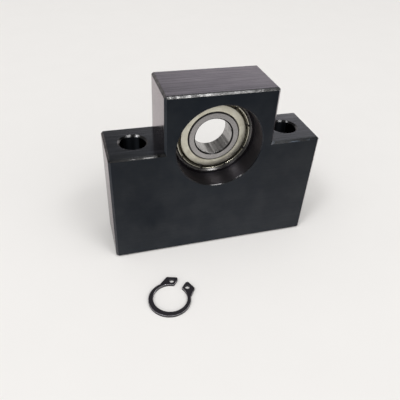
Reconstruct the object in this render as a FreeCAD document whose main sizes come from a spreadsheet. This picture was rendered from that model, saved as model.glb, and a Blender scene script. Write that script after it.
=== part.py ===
import FreeCAD, Part
import os
import Sketcher

# Support for the free end of a ball screw. A hat-shaped steel block is bolted down through its two
# shoulders. A shielded ball bearing floats in its straight bore, and a retaining ring, shown lying in
# front of the block, holds the bearing on the screw's journal.
# Frame: origin at the middle of the block's base, +X along the block, +Y from front to back, +Z up.

Vector = FreeCAD.Vector

# Driving dimensions, in millimetres and degrees.
DIMENSIONS = [
    ("tower_width", 43, "width of the tower round the bearing"),
    ("shoulder_width", 20.5, "width of each shoulder beside the tower"),
    ("shoulder_height", 47.5, "base to the shoulders' top"),
    ("shaft_height", 48, "base to the bearing's axis"),
    ("crown_height", 22, "bearing's axis to the tower's top"),
    ("block_depth", 23, "front face to back face"),
    ("edge_chamfer", 0.85, "broken edges all round the block"),
    ("crown_chamfer", 0.95, "long top edges of the tower"),
    ("hole_diameter", 10, "bolt holes through the shoulders"),
    ("hole_offset", 9.8, "tower's side to a bolt hole's axis"),
    ("hole_chamfer", 0.75, "upper mouths of the bolt holes"),
    ("hole_foot_chamfer", 0.4, "lower mouths of the bolt holes"),
    ("seat_clearance", 0.03, "radial gap in which the bearing floats"),
    ("seat_chamfer", 1, "rear mouth of the bearing's seat"),
    ("front_recess", 8.2, "block's front face to the bearing"),
    ("recess_step", 1, "how far the front recess stands outside the bearing"),
    ("recess_chamfer", 0.3, "mouth of the front recess"),
    ("bearing_bore", 15, "bore of the inner ring"),
    ("bearing_outer", 32, "outside of the outer ring"),
    ("bearing_width", 9, "width of both rings"),
    ("bore_corner", 0.55, "chamfer at the inner ring's bore"),
    ("outer_corner", 0.3, "chamfer at the outer ring's outside"),
    ("shield_mouth", 0.6, "chamfer of the outer ring over a shield's rim"),
    ("shoulder_corner", 0.3, "chamfer at the inner ring's shoulders"),
    ("ball_diameter", 4.7625, "balls"),
    ("ball_count", 9, "balls in the bearing"),
    ("race_depth", 0.88, "depth of the raceways below the shoulders"),
    ("race_ratio", 0.52, "raceway radius as a share of the ball's diameter"),
    ("running_clearance", 0.03, "radial gap between a ball and a raceway"),
    ("shield_sheet", 0.3, "thickness of the shields"),
    ("shield_setback", 0.35, "ring faces to the shields' flat"),
    ("shield_gap", 0.3, "radial gap from the inner ring to a shield"),
    ("shield_step", 1.78, "outer ring's shoulder to the shield's seat"),
    ("shield_play", 0.02, "radial play of a shield's rim in its seat"),
    ("shield_bend", 0.35, "outer radius of the bend round the flat"),
    ("rim_channel_depth", 0.9, "channel inside the rolled rim"),
    ("rim_channel_width", 1.2, "channel inside the rolled rim, over its sloping wall"),
    ("rim_channel_floor", 0.3, "flat floor of that channel"),
    ("rim_setback", 0.35, "ring faces to the rim's edge"),
    ("rim_round", 0.27, "radius along the folded rim's edge"),
    ("rim_slit_count", 9, "slits that part the rim into tongues"),
    ("rim_slit_width", 0.5, "width of a slit"),
    ("rim_slit_angle", 12.5, "first slit above the horizontal"),
    ("cage_sheet", 0.45, "thickness of a cage half"),
    ("cage_width", 2, "radial width of a cage half over the balls"),
    ("ribbon_width", 1.8, "radial width of a cage half between the balls"),
    ("pocket_clearance", 0.12, "gap round a ball in its pocket"),
    ("rivet_diameter", 0.8, "shanks of the cage rivets"),
    ("rivet_head", 1.1, "heads of the cage rivets"),
    ("rivet_head_height", 0.3, "heads of the cage rivets"),
    ("rivet_play", 0.01, "radial gap round a rivet's shank"),
    ("ring_grip", 1.9, "how much tighter the free retaining ring is than the journal"),
    ("ring_sheet", 1, "thickness of the retaining ring"),
    ("ring_back_width", 2, "ring's width opposite its gap"),
    ("ring_tip_width", 1.1, "ring's width at its gap"),
    ("ring_gap", 3.4, "gap between the lugs"),
    ("lug_angle", 24, "gap's middle to a lug's hole"),
    ("lug_height", 3.9, "lug's end above the ring's bore"),
    ("lug_width", 4.4, "width of a lug"),
    ("lug_flank_angle", 56, "gap's middle to where a lug leaves the ring"),
    ("lug_hole", 1.95, "plier holes in the lugs"),
    ("lug_hole_height", 1.9, "plier hole's middle above the ring's bore"),
    ("lug_corner", 0.7, "radius of the lugs' corners"),
    ("lug_tip", 0.45, "radius where the gap meets the ring's bore"),
    ("ring_die_roll", 0.15, "radius that stamping leaves round the ring's upper edge"),
    ("ring_left", 25.5, "bearing's axis to the lying ring's middle"),
    ("ring_distance", 27, "block's front face to the lying ring's middle"),
    ("ring_turn", 48.8, "direction of the lying ring's gap, from +X"),
]

# Sizes that follow from the driving dimensions.
BLOCK_HALF_WIDTH = "(sizes.tower_width / 2 + sizes.shoulder_width)"
TOWER_HALF_WIDTH = "(sizes.tower_width / 2)"
BLOCK_TOP = "(sizes.shaft_height + sizes.crown_height)"
HOLE_PLACE = "(sizes.tower_width / 2 + sizes.hole_offset)"
SEAT_RADIUS = "(sizes.bearing_outer / 2 + sizes.seat_clearance)"
RECESS_RADIUS = "(sizes.bearing_outer / 2 + sizes.recess_step)"
BEARING_MIDDLE = "(sizes.front_recess + sizes.bearing_width / 2 - sizes.block_depth / 2)"
HALF_BEARING = "(sizes.bearing_width / 2)"
PITCH_RADIUS = "((sizes.bearing_bore + sizes.bearing_outer) / 4)"
BALL_RADIUS = "(sizes.ball_diameter / 2)"
RACE_RADIUS = "(sizes.race_ratio * sizes.ball_diameter)"
INNER_RACE_CENTRE = f"({PITCH_RADIUS} - {BALL_RADIUS} - sizes.running_clearance + {RACE_RADIUS})"
OUTER_RACE_CENTRE = f"({PITCH_RADIUS} + {BALL_RADIUS} + sizes.running_clearance - {RACE_RADIUS})"
INNER_SHOULDER = f"({PITCH_RADIUS} - {BALL_RADIUS} + sizes.race_depth)"
OUTER_SHOULDER = f"({PITCH_RADIUS} + {BALL_RADIUS} - sizes.race_depth)"
SHIELD_SEAT = f"({OUTER_SHOULDER} + sizes.shield_step)"
SHIELD_FACE = f"({HALF_BEARING} - sizes.shield_setback)"
SHIELD_FLOOR = f"({SHIELD_FACE} - sizes.rim_channel_depth - sizes.shield_sheet)"
POCKET_RADIUS = f"({BALL_RADIUS} + sizes.pocket_clearance)"
POCKET_OUTSIDE = f"({POCKET_RADIUS} + sizes.cage_sheet)"
CUP_LATITUDE = f"asin(sizes.cage_width / 2 / {POCKET_OUTSIDE})"
RIBBON_INSIDE = f"({PITCH_RADIUS} - sizes.ribbon_width / 2)"
RIBBON_OUTSIDE = f"({PITCH_RADIUS} + sizes.ribbon_width / 2)"
RING_RADIUS = "((sizes.bearing_bore - sizes.ring_grip) / 2)"
RING_OUTSIDE = f"({RING_RADIUS} + (sizes.ring_back_width + sizes.ring_tip_width) / 2)"
RING_OFFSET = "((sizes.ring_back_width - sizes.ring_tip_width) / 2)"

# Ends of a sketch line, and a sketch's own origin.
START, END = 1, 2
CENTRE = 3
ORIGIN, ORIGIN_POINT = -1, 1
HORIZONTAL_AXIS, VERTICAL_AXIS = -1, -2

FULL_TURN, HALF_TURN, THIRD_TURN, QUARTER_TURN = 360, 180, 120, 90
TOUCH = 1e-6

doc = FreeCAD.newDocument("screw_end_support")
sizes = doc.addObject("Spreadsheet::Sheet", "sizes")
for row, (alias, number, meaning) in enumerate(DIMENSIONS, 1):
    sizes.set(f"A{row}", meaning)
    sizes.set(f"B{row}", str(number))
    sizes.setAlias(f"B{row}", alias)
doc.recompute()


def evaluate(expression):
    result = sizes.evalExpression(expression)
    return float(getattr(result, "Value", result))


# Sketches and features

def new_body(name):
    body = doc.addObject("PartDesign::Body", name)
    body.Label = name
    return body


def origin_feature(body, role):
    return next(item for item in body.Origin.OriginFeatures if item.Role == role)


def new_sketch(body, plane, name):
    sketch = body.newObject("Sketcher::SketchObject", name)
    sketch.AttachmentSupport = [(origin_feature(body, plane), "")]
    sketch.MapMode = "FlatFace"
    return sketch


def bind_distance(sketch, kind, geometry, point, expression):
    constraint = Sketcher.Constraint(kind, ORIGIN, ORIGIN_POINT, geometry, point, evaluate(expression))
    number = sketch.addConstraint(constraint)
    sketch.renameConstraint(number, f"{kind}_{number}")
    sketch.setExpression(f"Constraints.{kind}_{number}", expression)


def bind_point(sketch, geometry, point, x, y):
    """Hold a point at (x, y), both size expressions, or on an axis where one of them is zero."""
    for kind, expression, axis in (("DistanceX", x, VERTICAL_AXIS), ("DistanceY", y, HORIZONTAL_AXIS)):
        if abs(evaluate(expression)) < TOUCH:
            sketch.addConstraint(Sketcher.Constraint("PointOnObject", geometry, point, axis))
        else:
            bind_distance(sketch, kind, geometry, point, expression)


def draw_outline(sketch, corners):
    """Closed outline of straight lines through corners given as pairs of size expressions."""
    places = [Vector(evaluate(x), evaluate(y), 0) for x, y in corners]
    first = sketch.GeometryCount
    for start, end in zip(places, places[1:] + places[:1]):
        sketch.addGeometry(Part.LineSegment(start, end), False)
    lines = list(range(first, sketch.GeometryCount))
    for line, following in zip(lines, lines[1:] + lines[:1]):
        sketch.addConstraint(Sketcher.Constraint("Coincident", line, END, following, START))
    for line, (x, y) in zip(lines, corners):
        bind_point(sketch, line, START, x, y)


def draw_circle(sketch, x, y, radius):
    centre = Vector(evaluate(x), evaluate(y), 0)
    circle = sketch.addGeometry(Part.Circle(centre, Vector(0, 0, 1), evaluate(radius)), False)
    if abs(centre.x) < TOUCH and abs(centre.y) < TOUCH:
        sketch.addConstraint(Sketcher.Constraint("Coincident", circle, CENTRE, ORIGIN, ORIGIN_POINT))
    else:
        bind_point(sketch, circle, CENTRE, x, y)
    number = sketch.addConstraint(Sketcher.Constraint("Radius", circle, evaluate(radius)))
    sketch.renameConstraint(number, f"Radius_{number}")
    sketch.setExpression(f"Constraints.Radius_{number}", radius)


def add_pad(body, sketch, name, length, symmetric=False):
    pad = body.newObject("PartDesign::Pad", name)
    pad.Profile = sketch
    pad.setExpression("Length", length)
    pad.SideType = "Symmetric" if symmetric else "One side"
    doc.recompute()
    return pad


def add_pocket(body, sketch, name, depth=None):
    """Cut to a depth, or right through both ways from the sketch; stop if nothing was cut."""
    before = body.Shape.Volume
    pocket = body.newObject("PartDesign::Pocket", name)
    pocket.Profile = sketch
    if depth:
        pocket.setExpression("Length", depth)
    else:
        pocket.Type = "ThroughAll"
        pocket.SideType = "Symmetric"
    doc.recompute()
    check_cut(before, body, name)
    return pocket


def add_revolution(body, sketch, name):
    revolution = body.newObject("PartDesign::Revolution", name)
    revolution.Profile = sketch
    revolution.ReferenceAxis = (sketch, ["V_Axis"])
    revolution.Angle = FULL_TURN
    doc.recompute()
    return revolution


def add_groove(body, sketch, name):
    before = body.Shape.Volume
    groove = body.newObject("PartDesign::Groove", name)
    groove.Profile = sketch
    groove.ReferenceAxis = (sketch, ["V_Axis"])
    groove.Angle = FULL_TURN
    doc.recompute()
    check_cut(before, body, name)
    return groove


def check_cut(before, body, name):
    if body.Shape.Volume > before - TOUCH:
        raise RuntimeError(f"{name} cut nothing")


def add_edge_feature(body, kind, name, size, chosen):
    """Chamfer or fillet the edges of the body's tip that the test picks out."""
    base = body.Tip
    names = [f"Edge{number}" for number, edge in enumerate(base.Shape.Edges, 1) if chosen(edge)]
    feature = body.newObject(f"PartDesign::{kind}", name)
    feature.Base = (base, names)
    feature.setExpression("Radius" if kind == "Fillet" else "Size", size)
    doc.recompute()
    return feature


def is_circle(edge, radius, plane=None):
    """Whether an edge is a full circle of this radius, where given at this distance along +Z."""
    curve = edge.Curve
    if not isinstance(curve, Part.Circle) or abs(curve.Radius - radius) > TOUCH:
        return False
    return plane is None or abs(curve.Center.z - plane) < TOUCH


# Bearing block

def crosses(edge, axis):
    """Whether a straight edge runs along this axis (0, 1 or 2)."""
    if not isinstance(edge.Curve, Part.Line):
        return False
    return abs(edge.Curve.Direction[axis]) > 1 - TOUCH


def is_crown_edge(edge):
    middle = edge.CenterOfMass
    return crosses(edge, 0) and abs(middle.z - evaluate(BLOCK_TOP)) < TOUCH


def is_outer_edge(edge):
    """Edges of the plain hat block, apart from the crown's long edges and those at the tower's feet."""
    middle = edge.CenterOfMass
    on_tower = abs(abs(middle.x) - evaluate(TOWER_HALF_WIDTH)) < TOUCH
    at_foot = on_tower and abs(middle.z - evaluate("sizes.shoulder_height")) < TOUCH
    return not at_foot and not is_crown_edge(edge)


def on_face(edge, place):
    """Whether an edge's middle lies in the plane at this distance along +Y."""
    return abs(edge.CenterOfMass.y - place) < TOUCH


def make_block():
    body = new_body("bearing_block")
    outline = new_sketch(body, "XZ_Plane", "hat_outline")
    draw_outline(outline, [
        (f"-{BLOCK_HALF_WIDTH}", "0"),
        (BLOCK_HALF_WIDTH, "0"),
        (BLOCK_HALF_WIDTH, "sizes.shoulder_height"),
        (TOWER_HALF_WIDTH, "sizes.shoulder_height"),
        (TOWER_HALF_WIDTH, BLOCK_TOP),
        (f"-{TOWER_HALF_WIDTH}", BLOCK_TOP),
        (f"-{TOWER_HALF_WIDTH}", "sizes.shoulder_height"),
        (f"-{BLOCK_HALF_WIDTH}", "sizes.shoulder_height"),
    ])
    add_pad(body, outline, "hat_block", "sizes.block_depth", symmetric=True)
    add_edge_feature(body, "Chamfer", "outer_edges", "sizes.edge_chamfer", is_outer_edge)
    add_edge_feature(body, "Chamfer", "crown_edges", "sizes.crown_chamfer", is_crown_edge)
    seat = new_sketch(body, "XZ_Plane", "seat_circle")
    draw_circle(seat, "0", "sizes.shaft_height", SEAT_RADIUS)
    add_pocket(body, seat, "bearing_seat")
    recess = new_sketch(body, "XZ_Plane", "recess_circle")
    recess.setExpression("AttachmentOffset.Base.z", "sizes.block_depth / 2")
    draw_circle(recess, "0", "sizes.shaft_height", RECESS_RADIUS)
    add_pocket(body, recess, "front_recess_bore", "sizes.front_recess")
    holes = new_sketch(body, "XY_Plane", "hole_circles")
    for side in ("-", ""):
        draw_circle(holes, f"{side}{HOLE_PLACE}", "0", "sizes.hole_diameter / 2")
    add_pocket(body, holes, "bolt_holes")
    seat_radius = evaluate(SEAT_RADIUS)
    recess_radius = evaluate(RECESS_RADIUS)
    back_face = evaluate("sizes.block_depth / 2")
    add_edge_feature(body, "Chamfer", "seat_mouth", "sizes.seat_chamfer",
                     lambda edge: is_circle(edge, seat_radius) and on_face(edge, back_face))
    add_edge_feature(body, "Chamfer", "recess_mouth", "sizes.recess_chamfer",
                     lambda edge: is_circle(edge, recess_radius) and on_face(edge, -back_face))
    hole_radius = evaluate("sizes.hole_diameter / 2")
    shoulder_height = evaluate("sizes.shoulder_height")
    add_edge_feature(body, "Chamfer", "hole_mouths", "sizes.hole_chamfer",
                     lambda edge: is_circle(edge, hole_radius, shoulder_height))
    add_edge_feature(body, "Chamfer", "hole_feet", "sizes.hole_foot_chamfer",
                     lambda edge: is_circle(edge, hole_radius, 0))
    return body


# Bearing rings and shields, drawn as half sections: radius to the right, bearing's axis upright

def both_ends(half_section):
    """Add the mirror image of a half section's corners, to close it below the middle plane."""
    return half_section + [(radius, f"-{height}") for radius, height in reversed(half_section)]


def seat_in_block(piece):
    """Place a bearing piece on the bearing's axis, its own +Z towards the block's front."""
    piece.Placement = FreeCAD.Placement(Vector(), FreeCAD.Rotation(Vector(1, 0, 0), QUARTER_TURN))
    piece.setExpression("Placement.Base.y", BEARING_MIDDLE)
    piece.setExpression("Placement.Base.z", "sizes.shaft_height")


def face_rear(piece):
    """Turn a bearing piece over, so that its own +Z looks to the block's back."""
    turn = FreeCAD.Rotation(Vector(1, 0, 0), HALF_TURN)
    piece.Placement = piece.Placement * FreeCAD.Placement(Vector(), turn)


def repeat_round(body, name, features, count):
    """Repeat features of a body at even steps round its own Z axis."""
    pattern = body.newObject("PartDesign::PolarPattern", name)
    pattern.Originals = features
    pattern.Axis = (origin_feature(body, "Z_Axis"), [""])
    pattern.Angle = FULL_TURN
    pattern.setExpression("Occurrences", count)
    body.Tip = pattern
    doc.recompute()


def cut_race(body, centre):
    race = new_sketch(body, "XZ_Plane", f"{body.Name}_race_circle")
    draw_circle(race, centre, "0", RACE_RADIUS)
    add_groove(body, race, f"{body.Name}_race")


def make_outer_ring():
    body = new_body("bearing_outer_ring")
    outside = "(sizes.bearing_outer / 2)"
    section = new_sketch(body, "XZ_Plane", "outer_ring_section")
    draw_outline(section, both_ends([
        (OUTER_SHOULDER, SHIELD_FLOOR),
        (SHIELD_SEAT, SHIELD_FLOOR),
        (SHIELD_SEAT, f"({HALF_BEARING} - sizes.shield_mouth)"),
        (f"({SHIELD_SEAT} + sizes.shield_mouth)", HALF_BEARING),
        (f"({outside} - sizes.outer_corner)", HALF_BEARING),
        (outside, f"({HALF_BEARING} - sizes.outer_corner)"),
    ]))
    add_revolution(body, section, "outer_ring_turned")
    cut_race(body, OUTER_RACE_CENTRE)
    seat_in_block(body)
    return body


def make_inner_ring():
    body = new_body("bearing_inner_ring")
    bore = "(sizes.bearing_bore / 2)"
    section = new_sketch(body, "XZ_Plane", "inner_ring_section")
    draw_outline(section, both_ends([
        (bore, f"({HALF_BEARING} - sizes.bore_corner)"),
        (f"({bore} + sizes.bore_corner)", HALF_BEARING),
        (f"({INNER_SHOULDER} - sizes.shoulder_corner)", HALF_BEARING),
        (INNER_SHOULDER, f"({HALF_BEARING} - sizes.shoulder_corner)"),
    ]))
    add_revolution(body, section, "inner_ring_turned")
    cut_race(body, INNER_RACE_CENTRE)
    seat_in_block(body)
    return body


def make_shield(name, front):
    """Pressed shield: a flat, a sloping wall, and a folded rim that is slit into tongues."""
    body = new_body(name)
    bore = f"({INNER_SHOULDER} + sizes.shield_gap)"
    rim_outside = f"({SHIELD_SEAT} - sizes.shield_play)"
    rim_inside = f"({rim_outside} - 2 * sizes.shield_sheet)"
    wall_top = f"({rim_inside} - sizes.rim_channel_width)"
    wall_foot = f"({rim_inside} - sizes.rim_channel_floor)"
    wall_run = "(sizes.rim_channel_width - sizes.rim_channel_floor)"
    wall_length = f"sqrt({wall_run}^2 + sizes.rim_channel_depth^2)"
    wall_lap = f"(sizes.shield_sheet * ({wall_length} - {wall_run}) / sizes.rim_channel_depth)"
    channel_floor = f"({SHIELD_FACE} - sizes.rim_channel_depth)"
    flat_back = f"({SHIELD_FACE} - sizes.shield_sheet)"
    rim_edge = f"({HALF_BEARING} - sizes.rim_setback)"
    section = new_sketch(body, "XZ_Plane", f"{name}_section")
    draw_outline(section, [
        (bore, SHIELD_FACE),
        (wall_top, SHIELD_FACE),
        (wall_foot, channel_floor),
        (rim_inside, channel_floor),
        (rim_inside, rim_edge),
        (rim_outside, rim_edge),
        (rim_outside, SHIELD_FLOOR),
        (f"({wall_foot} - {wall_lap})", SHIELD_FLOOR),
        (f"({wall_top} - {wall_lap})", flat_back),
        (bore, flat_back),
    ])
    add_revolution(body, section, f"{name}_pressed")
    bend_radius = evaluate(wall_top)
    bend_height = evaluate(SHIELD_FACE)
    add_edge_feature(body, "Fillet", f"{name}_bend", "sizes.shield_bend",
                     lambda edge: is_circle(edge, bend_radius, bend_height))
    rim_radii = (evaluate(rim_inside), evaluate(rim_outside))
    rim_height = evaluate(rim_edge)
    add_edge_feature(body, "Fillet", f"{name}_rim_edge", "sizes.rim_round",
                     lambda edge: any(is_circle(edge, radius, rim_height) for radius in rim_radii))
    slit_rim(body, name, rim_inside, rim_outside)
    seat_in_block(body)
    if not front:
        face_rear(body)
    return body


def slit_rim(body, name, rim_inside, rim_outside):
    """Cut one slit through the rolled rim and repeat it round the shield."""
    turned = new_sketch(body, "XY_Plane", f"{name}_slit_outline")
    inner_end = f"({rim_inside} - sizes.rim_channel_width / 4)"
    outer_end = f"({rim_outside} + sizes.rim_channel_width / 4)"
    half_slit = "(sizes.rim_slit_width / 2)"
    draw_outline(turned, [
        (inner_end, f"-{half_slit}"),
        (outer_end, f"-{half_slit}"),
        (outer_end, half_slit),
        (inner_end, half_slit),
    ])
    turned.setExpression("AttachmentOffset.Rotation.Angle", "sizes.rim_slit_angle")
    slit = add_pocket(body, turned, f"{name}_slit")
    repeat_round(body, f"{name}_slits", [slit], "sizes.rim_slit_count")


# Balls and their cage

def on_pitch_circle(piece, place, height="0"):
    """Put a piece on the pitch circle, at a place counted in ball spacings from the right."""
    angle = f"({FULL_TURN} * {place} / sizes.ball_count)"
    piece.setExpression("Placement.Base.x", f"{PITCH_RADIUS} * cos({angle})")
    piece.setExpression("Placement.Base.y", f"{PITCH_RADIUS} * sin({angle})")
    piece.setExpression("Placement.Base.z", height)


def make_ball(number):
    name = f"ball_{number + 1}"
    sphere = doc.addObject("Part::Sphere", f"{name}_sphere")
    sphere.setExpression("Radius", BALL_RADIUS)
    on_pitch_circle(sphere, number)
    ball = doc.addObject("Part::Compound", name)
    ball.Label = name
    ball.Links = [sphere]
    seat_in_block(ball)
    return ball


def make_cage_half(name, front):
    """One pressed half of the cage: a flat ribbon between the balls, and a cup over each ball."""
    body = new_body(name)
    ribbon = new_sketch(body, "XY_Plane", f"{name}_ribbon_circles")
    for radius in (RIBBON_INSIDE, RIBBON_OUTSIDE):
        draw_circle(ribbon, "0", "0", radius)
    add_pad(body, ribbon, f"{name}_ribbon", "sizes.cage_sheet")
    cup = add_sphere(body, "AdditiveSphere", f"{name}_cup", POCKET_OUTSIDE)
    cup.setExpression("Angle1", f"-{CUP_LATITUDE}")
    cup.setExpression("Angle2", CUP_LATITUDE)
    cup.Angle3 = HALF_TURN
    pocket = add_sphere(body, "SubtractiveSphere", f"{name}_pocket", POCKET_RADIUS)
    hole_circle = new_sketch(body, "XY_Plane", f"{name}_rivet_circle")
    half_spacing = f"({HALF_TURN} / sizes.ball_count)"
    hole_x = f"{PITCH_RADIUS} * cos({half_spacing})"
    hole_y = f"{PITCH_RADIUS} * sin({half_spacing})"
    draw_circle(hole_circle, hole_x, hole_y, "(sizes.rivet_diameter / 2 + sizes.rivet_play)")
    hole = add_pocket(body, hole_circle, f"{name}_rivet_hole")
    repeat_round(body, f"{name}_cups", [cup, pocket, hole], "sizes.ball_count")
    seat_in_block(body)
    if not front:
        face_rear(body)
    return body


def add_sphere(body, kind, name, radius):
    """Ball-shaped feature on the pitch circle, with its own axis pointing away from the bearing's."""
    sphere = body.newObject(f"PartDesign::{kind}", name)
    sphere.setExpression("Radius", radius)
    sphere.Placement = FreeCAD.Placement(Vector(), FreeCAD.Rotation(Vector(1, 1, 1), THIRD_TURN))
    sphere.setExpression("Placement.Base.x", PITCH_RADIUS)
    doc.recompute()
    return sphere


def new_rivet_part(name, place, diameter, base, height):
    """Cylinder midway between a ball and the next, standing this far from the cage's middle."""
    cylinder = doc.addObject("Part::Cylinder", name)
    cylinder.setExpression("Radius", f"{diameter} / 2")
    cylinder.setExpression("Height", height)
    on_pitch_circle(cylinder, f"({place} + 0.5)", base)
    return cylinder


def make_cage_rivets():
    """One rivet between each two balls, headed on both sides of the two cage halves."""
    sheet = "sizes.cage_sheet"
    head = "sizes.rivet_head"
    height = "sizes.rivet_head_height"
    rivets = []
    for place in range(ball_count):
        name = f"rivet_{place + 1}"
        rivet = doc.addObject("Part::MultiFuse", name)
        rivet.Shapes = [
            new_rivet_part(f"{name}_shank", place, "sizes.rivet_diameter", f"-{sheet}", f"2 * {sheet}"),
            new_rivet_part(f"{name}_front_head", place, head, sheet, height),
            new_rivet_part(f"{name}_rear_head", place, head, f"-{sheet} - {height}", height),
        ]
        rivets.append(rivet)
    group = doc.addObject("Part::Compound", "cage_rivets")
    group.Label = "cage_rivets"
    group.Links = rivets
    seat_in_block(group)
    return group


# Retaining ring, drawn flat with its gap towards +X

def lug_corner(along, across):
    """Corner of a lug, measured along and across the line from the ring's middle to its hole."""
    x = f"({along}) * cos(sizes.lug_angle) - ({across}) * sin(sizes.lug_angle)"
    y = f"({along}) * sin(sizes.lug_angle) + ({across}) * cos(sizes.lug_angle)"
    return x, y


def on_ring(radius, centre_offset):
    """Point where a lug's flank meets the ring, on a circle round an offset centre."""
    x = f"({radius}) * cos(sizes.lug_flank_angle) - ({centre_offset})"
    y = f"({radius}) * sin(sizes.lug_flank_angle)"
    return x, y


def radius_of(edge):
    """Distance of an edge's middle from the ring's axis."""
    middle = edge.CenterOfMass
    return Vector(middle.x, middle.y, 0).Length


def is_upper_ring_edge(edge):
    """Edges round the ring's upper face, apart from those of the plier holes."""
    level = evaluate("sizes.ring_sheet")
    flat = all(abs(corner.Point.z - level) < TOUCH for corner in edge.Vertexes)
    return flat and not is_circle(edge, evaluate("sizes.lug_hole / 2"))


def make_retaining_ring():
    body = new_body("retaining_ring")
    circles = new_sketch(body, "XY_Plane", "ring_circles")
    draw_circle(circles, "0", "0", RING_RADIUS)
    draw_circle(circles, f"-{RING_OFFSET}", "0", RING_OUTSIDE)
    add_pad(body, circles, "ring_stamped", "sizes.ring_sheet")
    lug = new_sketch(body, "XY_Plane", "lug_outline")
    lug_root = f"({RING_RADIUS} + sizes.ring_tip_width / 2)"
    lug_end = f"({RING_RADIUS} + sizes.lug_height)"
    draw_outline(lug, [
        lug_corner(lug_root, "-sizes.lug_width / 2"),
        lug_corner(lug_end, "-sizes.lug_width / 2"),
        lug_corner(lug_end, "sizes.lug_width / 2"),
        on_ring(RING_OUTSIDE, RING_OFFSET),
        on_ring(f"{RING_RADIUS} + sizes.ring_tip_width / 2", "0"),
    ])
    lug_pad = add_pad(body, lug, "lug_stamped", "sizes.ring_sheet")
    hole = new_sketch(body, "XY_Plane", "lug_hole_circle")
    hole_x, hole_y = lug_corner(f"{RING_RADIUS} + sizes.lug_hole_height", "0")
    draw_circle(hole, hole_x, hole_y, "sizes.lug_hole / 2")
    lug_hole = add_pocket(body, hole, "lug_plier_hole")
    mirror = body.newObject("PartDesign::Mirrored", "second_lug")
    mirror.Originals = [lug_pad, lug_hole]
    mirror.MirrorPlane = (origin_feature(body, "XZ_Plane"), [""])
    body.Tip = mirror
    doc.recompute()
    cut_ring_gap(body)
    corner_reach = evaluate(f"{RING_OUTSIDE} + sizes.lug_corner / 2")
    add_edge_feature(body, "Fillet", "lug_corners", "sizes.lug_corner",
                     lambda edge: crosses(edge, 2) and radius_of(edge) > corner_reach)
    bore_radius = evaluate(RING_RADIUS)
    add_edge_feature(body, "Fillet", "lug_tips", "sizes.lug_tip",
                     lambda edge: crosses(edge, 2) and abs(radius_of(edge) - bore_radius) < TOUCH)
    add_edge_feature(body, "Fillet", "ring_upper_edge", "sizes.ring_die_roll", is_upper_ring_edge)
    body.Placement = FreeCAD.Placement(Vector(), FreeCAD.Rotation(Vector(0, 0, 1), 0))
    body.setExpression("Placement.Base.x", "-sizes.ring_left")
    body.setExpression("Placement.Base.y", "-(sizes.block_depth / 2 + sizes.ring_distance)")
    body.setExpression("Placement.Rotation.Angle", "sizes.ring_turn")
    return body


def cut_ring_gap(body):
    gap = new_sketch(body, "XY_Plane", "gap_outline")
    gap_end = f"({RING_RADIUS} + 2 * sizes.lug_height)"
    half_gap = "(sizes.ring_gap / 2)"
    draw_outline(gap, [
        ("0", f"-{half_gap}"),
        (gap_end, f"-{half_gap}"),
        (gap_end, half_gap),
        ("0", half_gap),
    ])
    add_pocket(body, gap, "ring_gap_cut")


# The whole unit

ball_count = round(evaluate("sizes.ball_count"))
pieces = [make_block(), make_outer_ring(), make_inner_ring()]
pieces += [make_shield("front_shield", True), make_shield("rear_shield", False)]
pieces += [make_ball(number) for number in range(ball_count)]
pieces += [make_cage_half("cage_front", True), make_cage_half("cage_rear", False), make_cage_rivets()]
pieces += [make_retaining_ring()]
doc.recompute()

for item in doc.Objects:
    if "Invalid" in item.State or "Error" in item.State:
        raise RuntimeError(f"{item.Name} failed: {item.State}")
for piece in pieces:
    if piece.Shape.isNull() or not piece.Shape.isValid():
        raise RuntimeError(f"{piece.Label} has no valid shape")

os.makedirs("parts", exist_ok=True)
for piece in pieces:
    piece.Shape.exportStep(f"parts/{piece.Label}.step")
    print(piece.Label, len(piece.Shape.Solids), round(piece.Shape.Volume, 3))
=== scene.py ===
import math
from types import SimpleNamespace

import bpy
from mathutils import Matrix, Vector


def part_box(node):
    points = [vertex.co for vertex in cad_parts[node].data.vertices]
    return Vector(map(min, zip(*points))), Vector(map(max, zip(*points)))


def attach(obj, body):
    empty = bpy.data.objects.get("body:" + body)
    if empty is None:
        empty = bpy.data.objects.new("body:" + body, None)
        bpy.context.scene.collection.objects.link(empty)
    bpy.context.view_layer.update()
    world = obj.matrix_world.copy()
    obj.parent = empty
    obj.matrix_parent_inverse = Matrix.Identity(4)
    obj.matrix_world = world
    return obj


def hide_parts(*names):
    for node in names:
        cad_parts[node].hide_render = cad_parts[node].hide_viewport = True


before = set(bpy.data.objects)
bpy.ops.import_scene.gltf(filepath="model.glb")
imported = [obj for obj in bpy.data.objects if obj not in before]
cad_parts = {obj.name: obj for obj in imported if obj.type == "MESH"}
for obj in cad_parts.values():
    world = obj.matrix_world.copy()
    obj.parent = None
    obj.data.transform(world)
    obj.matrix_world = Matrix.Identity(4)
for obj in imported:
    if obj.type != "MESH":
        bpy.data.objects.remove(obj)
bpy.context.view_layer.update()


# Bearing block
# One piece of milled steel with a hat outline, bored through for the bearing, wider in front of it, and
# drilled down through both shoulders. It is blackened in a hot bath and sealed with oil.

MM = 0.001
TOWER_WIDTH, SHOULDER_HEIGHT, CROWN_HEIGHT = 43 * MM, 47.5 * MM, 70 * MM
RECESS_RADIUS, RECESS_MOUTH_RADIUS = 17 * MM, 17.3 * MM
BOLT_SPACING, BOLT_HOLE_RADIUS, BOLT_MOUTH_RADIUS = 62.6 * MM, 5 * MM, 5.75 * MM
outer_low, outer_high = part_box("bearing_outer_ring")
screw_axis = (Vector(outer_low) + Vector(outer_high)) / 2


def set_inputs(tree, node, inputs):
    """Give inputs of a node a plain value or the output of another node."""
    for name, value in inputs.items():
        if isinstance(value, bpy.types.NodeSocket):
            tree.links.new(value, node.inputs[name])
        else:
            node.inputs[name].default_value = value


def add_node(tree, kind, inputs=None, **settings):
    made = tree.nodes.new(kind)
    for name, value in settings.items():
        setattr(made, name, value)
    set_inputs(tree, made, inputs or {})
    return made


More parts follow.
